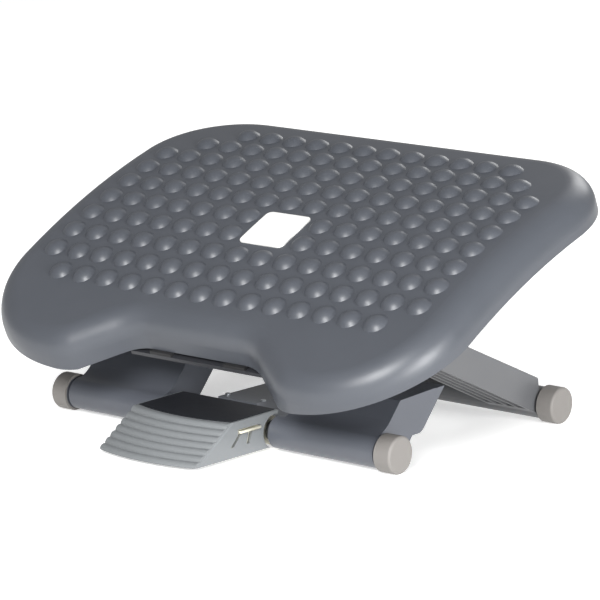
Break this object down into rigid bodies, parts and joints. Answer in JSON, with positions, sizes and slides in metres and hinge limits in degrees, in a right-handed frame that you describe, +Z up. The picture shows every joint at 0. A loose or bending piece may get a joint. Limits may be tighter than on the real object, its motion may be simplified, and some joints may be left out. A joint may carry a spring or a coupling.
{
  "type": "ergonomic footrest",
  "caption": "Under-desk footrest: a crowned tilting platform with domed bumps on crossed folding legs, with rubber end caps and a ribbed foot pedal that frees the height latch.",
  "frame": {"origin": "on the floor, at the middle of the object's box in plan", "axes": "+X to the user's right along the platform's width, +Y to the rear, away from the user, +Z up"},
  "size_m": [0.453, 0.3456, 0.2112],
  "materials": {
    "platform_plastic": "satin moulded, fine grain",
    "badge_white": "smooth, blank",
    "frame_black": "moulded",
    "leg_slate": "satin moulded",
    "rear_leg_grey": "satin moulded",
    "cap_rubber": "soft, matt",
    "pad_rubber": "soft, matt",
    "bright_steel": "drawn bar",
    "bush_white": "smooth",
    "strut_grey": "moulded",
    "housing_grey": "moulded",
    "pedal_grey": "moulded, ribbed face",
    "inlay_dark": "fine grain, blank",
    "latch_zinc": "yellow passivated"
  },
  "bodies": {
    "frame_body": {"under_frame": "frame_black", "tilt_axle": "bright_steel", "axle_clips": "bright_steel", "stop_pads": "pad_rubber", "front_leg_rod": "bright_steel", "rear_leg_rod": "bright_steel", "rod_nuts": "bright_steel", "hinge_spacers": "bush_white"},
    "platform_body": {"platform_shell": "platform_plastic", "badge_plate": "badge_white", "tilt_bearing_right": "frame_black", "tilt_bearing_left": "frame_black", "bearing_screws": "bright_steel"},
    "front_leg_body": {"front_leg": "leg_slate", "front_foot_tube": "bright_steel", "front_cap_right": "cap_rubber", "front_cap_left": "cap_rubber", "front_hinge_bushes": "bush_white"},
    "rear_leg_body": {"rear_leg": "rear_leg_grey", "rear_foot_tube": "bright_steel", "rear_cap_right": "cap_rubber", "rear_cap_left": "cap_rubber", "rear_hinge_bushes": "bush_white"},
    "strut_body": {"rack_strut": "strut_grey", "rack_plate": "latch_zinc", "rack_screws": "bright_steel"},
    "housing_body": {"latch_housing": "housing_grey", "housing_cover": "housing_grey", "cover_screws": "bright_steel", "pedal_spring": "bright_steel"},
    "pedal_body": {"pedal": "pedal_grey", "pedal_inlay": "inlay_dark", "latch_stirrup": "latch_zinc", "pedal_screws": "bright_steel"}
  },
  "joints": [
    {"name": "platform_tilt", "type": "hinge", "parent": "frame_body", "child": "platform_body", "pos_m": [0, 0.02145, 0.15206], "axis": [1, 0, 0], "range_deg": [-20, 0]},
    {"name": "height_swing", "type": "hinge", "parent": "frame_body", "child": "front_leg_body", "pos_m": [0, 0.08761, 0.1495], "axis": [1, 0, 0], "range_deg": [-10.5, 1.5]},
    {"name": "rear_leg_swing", "type": "hinge", "parent": "frame_body", "child": "rear_leg_body", "pos_m": [0, -0.04637, 0.10077], "axis": [1, 0, 0], "range_deg": [-1.3, 9.11]},
    {"name": "strut_pivot", "type": "hinge", "parent": "rear_leg_body", "child": "strut_body", "pos_m": [0, 0.142, 0.01475], "axis": [1, 0, 0], "range_deg": [-9.11, 1.3]},
    {"name": "housing_pivot", "type": "hinge", "parent": "front_leg_body", "child": "housing_body", "pos_m": [0, -0.0704, 0.01475], "axis": [1, 0, 0], "range_deg": [-1.5, 10.5]},
    {"name": "pedal_press", "type": "hinge", "parent": "housing_body", "child": "pedal_body", "pos_m": [0, -0.0704, 0.01475], "axis": [1, 0, 0], "range_deg": [0, 1.2], "stiffness_Nm_per_rad": 20, "springref_deg": -1.72}
  ],
  "couplings": [
    {"joint": "rear_leg_swing", "follows": "height_swing", "ratio": -0.868},
    {"joint": "strut_pivot", "follows": "height_swing", "ratio": 0.868},
    {"joint": "housing_pivot", "follows": "height_swing", "ratio": -1}
  ]
}
